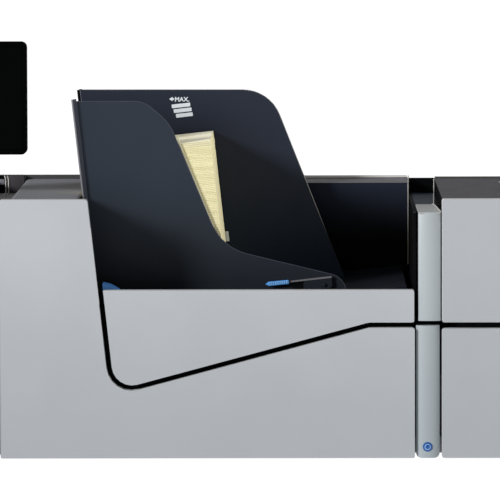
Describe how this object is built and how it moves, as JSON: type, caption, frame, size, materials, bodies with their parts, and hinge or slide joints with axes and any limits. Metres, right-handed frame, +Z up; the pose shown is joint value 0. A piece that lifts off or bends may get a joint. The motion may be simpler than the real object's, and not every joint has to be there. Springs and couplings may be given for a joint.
{
  "type": "franking machine",
  "caption": "Long desktop franking machine: low panelled modules, leaning envelope hopper with sliding guides and lifting magazine, and a tilting display on a post.",
  "frame": {"origin": "middle of the bounding box's bottom face, on the table under the feet", "axes": "+X right along the machine as seen from the front, +Y to the rear, +Z up"},
  "size_m": [1.04, 0.45, 0.5028],
  "materials": {
    "light_panel": "satin",
    "dark_top": "matte",
    "black_plastic": "satin",
    "guide_plate": "satin",
    "blue_plastic": "satin",
    "screen_glass": "gloss",
    "paper": "matte",
    "steel": "satin",
    "zinc_sheet": "satin",
    "rubber": "matte",
    "nylon": "matte",
    "circuit_board": "satin",
    "tank_plastic": "gloss",
    "red_plastic": "satin",
    "green_plastic": "satin"
  },
  "bodies": {
    "chassis": {"base_pan": "zinc_sheet", "foot_front_left": "rubber", "foot_rear_left": "rubber", "foot_front_right": "rubber", "foot_rear_right": "rubber", "front_frame_plate": "zinc_sheet", "rear_frame_plate": "zinc_sheet", "transport_deck": "steel", "left_casing": "light_panel", "right_casing": "light_panel", "rear_cover": "light_panel", "left_top_cover": "dark_top", "pillar_right_lower": "light_panel", "pillar_right_upper": "light_panel", "pillar_left_lower": "light_panel", "pillar_left_upper": "light_panel", "right_bridge": "black_plastic", "left_bridge": "black_plastic", "feeder_inner_panel": "black_plastic", "feeder_head": "dark_top", "hopper_rear_wall": "black_plastic", "magazine_hinge_shaft": "steel", "drive_motor": "steel", "timing_belt": "rubber", "print_head": "black_plastic", "ink_cartridge": "red_plastic", "controller_board": "circuit_board", "power_supply": "zinc_sheet", "fluid_tank": "tank_plastic", "power_inlet": "black_plastic", "separator_pad": "rubber", "display_post": "black_plastic"},
    "feeder_door": {"feeder_front_door": "light_panel"},
    "ink_bay_door": {"ink_door": "light_panel"},
    "right_lid": {"right_top_cover": "dark_top", "right_upper_front": "light_panel"},
    "magazine": {"magazine_deck": "black_plastic", "magazine_front_panel": "light_panel"},
    "front_guide_set": {"front_guide": "guide_plate", "front_guide_rack": "nylon"},
    "rear_guide_set": {"rear_guide": "guide_plate", "rear_guide_rack": "nylon"},
    "pinion": {"guide_pinion": "nylon"},
    "release_lever": {"guide_release_lever": "black_plastic", "release_lever_grip": "blue_plastic"},
    "latch_lever": {"magazine_latch_lever": "blue_plastic"},
    "feed_rollers": {"feed_shaft": "steel", "feed_roller_front": "rubber", "feed_roller_rear": "rubber"},
    "stack": {"envelope_stack": "paper"},
    "entry_roller": {"transport_roller_entry": "rubber"},
    "exit_roller": {"transport_roller_exit": "rubber"},
    "motor_wheel": {"motor_pulley": "nylon"},
    "rocker": {"power_switch": "black_plastic"},
    "tray": {"catch_tray": "black_plastic"},
    "swivel": {"display_yoke": "black_plastic"},
    "display": {"display_housing": "black_plastic", "display_screen": "screen_glass"},
    "start_key": {"start_button": "green_plastic"},
    "stop_key": {"stop_button": "red_plastic"}
  },
  "joints": [
    {"name": "feeder_door_hinge", "type": "hinge", "parent": "chassis", "child": "feeder_door", "pos_m": [0, -0.215, 0.0152], "axis": [1, 0, 0], "range_deg": [0, 80]},
    {"name": "ink_door_hinge", "type": "hinge", "parent": "chassis", "child": "ink_bay_door", "pos_m": [-0.4, -0.219, 0.1713], "axis": [1, 0, 0], "range_deg": [0, 80]},
    {"name": "right_lid_hinge", "type": "hinge", "parent": "chassis", "child": "right_lid", "pos_m": [0.4, 0.2035, 0.3166], "axis": [-1, 0, 0], "range_deg": [0, 60]},
    {"name": "magazine_lift", "type": "hinge", "parent": "chassis", "child": "magazine", "pos_m": [0.23174, 0, 0.19628], "axis": [0, 1, 0], "range_deg": [0, 25]},
    {"name": "front_guide_slide", "type": "slide", "parent": "magazine", "child": "front_guide_set", "axis": [0, -1, 0], "range_m": [0, 0.024]},
    {"name": "rear_guide_slide", "type": "slide", "parent": "magazine", "child": "rear_guide_set", "axis": [0, 1, 0], "range_m": [0, 0.024]},
    {"name": "guide_pinion_turn", "type": "hinge", "parent": "magazine", "child": "pinion", "pos_m": [0.01119, 0, 0.17092], "axis": [-0.1097, 0, 0.994], "range_deg": [0, 115]},
    {"name": "release_lever_hinge", "type": "hinge", "parent": "front_guide_set", "child": "release_lever", "pos_m": [0.13899, -0.122, 0.20716], "axis": [0, 1, 0], "range_deg": [0, 8], "stiffness_Nm_per_rad": 0.3, "springref_deg": -17.19},
    {"name": "latch_lever_hinge", "type": "hinge", "parent": "magazine", "child": "latch_lever", "pos_m": [-0.11624, -0.176, 0.17697], "axis": [0, 1, 0], "range_deg": [0, 20], "stiffness_Nm_per_rad": 0.5, "springref_deg": -17.19},
    {"name": "feed_roller_spin", "type": "hinge", "parent": "magazine", "child": "feed_rollers", "pos_m": [-0.08804, 0, 0.15846], "axis": [0, 1, 0], "continuous": true},
    {"name": "stack_lift", "type": "slide", "parent": "magazine", "child": "stack", "axis": [-0.1097, 0, 0.994], "range_m": [0, 0.2]},
    {"name": "motor_spin", "type": "hinge", "parent": "chassis", "child": "motor_wheel", "pos_m": [-0.325, 0.174, 0.09], "axis": [0, 1, 0], "continuous": true},
    {"name": "entry_roller_spin", "type": "hinge", "parent": "chassis", "child": "entry_roller", "pos_m": [-0.21, 0, 0.1475], "axis": [0, 1, 0], "continuous": true},
    {"name": "exit_roller_spin", "type": "hinge", "parent": "chassis", "child": "exit_roller", "pos_m": [-0.44, 0, 0.1475], "axis": [0, 1, 0], "continuous": true},
    {"name": "power_switch_rock", "type": "hinge", "parent": "chassis", "child": "rocker", "pos_m": [0.495, 0.212, 0.061], "axis": [1, 0, 0], "range_deg": [-4, 4]},
    {"name": "catch_tray_slide", "type": "slide", "parent": "chassis", "child": "tray", "axis": [-1, 0, 0], "range_m": [0, 0.2]},
    {"name": "display_swivel", "type": "hinge", "parent": "chassis", "child": "swivel", "pos_m": [-0.335, -0.06, 0.35], "axis": [0, 0, 1], "range_deg": [-30, 30]},
    {"name": "display_tilt", "type": "hinge", "parent": "swivel", "child": "display", "pos_m": [-0.335, -0.076, 0.4], "axis": [-1, 0, 0], "range_deg": [-5, 20]},
    {"name": "start_button_press", "type": "slide", "parent": "chassis", "child": "start_key", "axis": [0, 0, -1], "range_m": [0, 0.002], "stiffness_N_per_m": 400, "springref_m": -0.001},
    {"name": "stop_button_press", "type": "slide", "parent": "chassis", "child": "stop_key", "axis": [0, 0, -1], "range_m": [0, 0.002], "stiffness_N_per_m": 400, "springref_m": -0.001}
  ],
  "couplings": [
    {"joint": "rear_guide_slide", "follows": "front_guide_slide", "ratio": 1},
    {"joint": "guide_pinion_turn", "follows": "front_guide_slide", "rad_per_m": 83.333},
    {"joint": "exit_roller_spin", "follows": "entry_roller_spin", "ratio": 1},
    {"joint": "motor_spin", "follows": "entry_roller_spin", "ratio": 1}
  ]
}
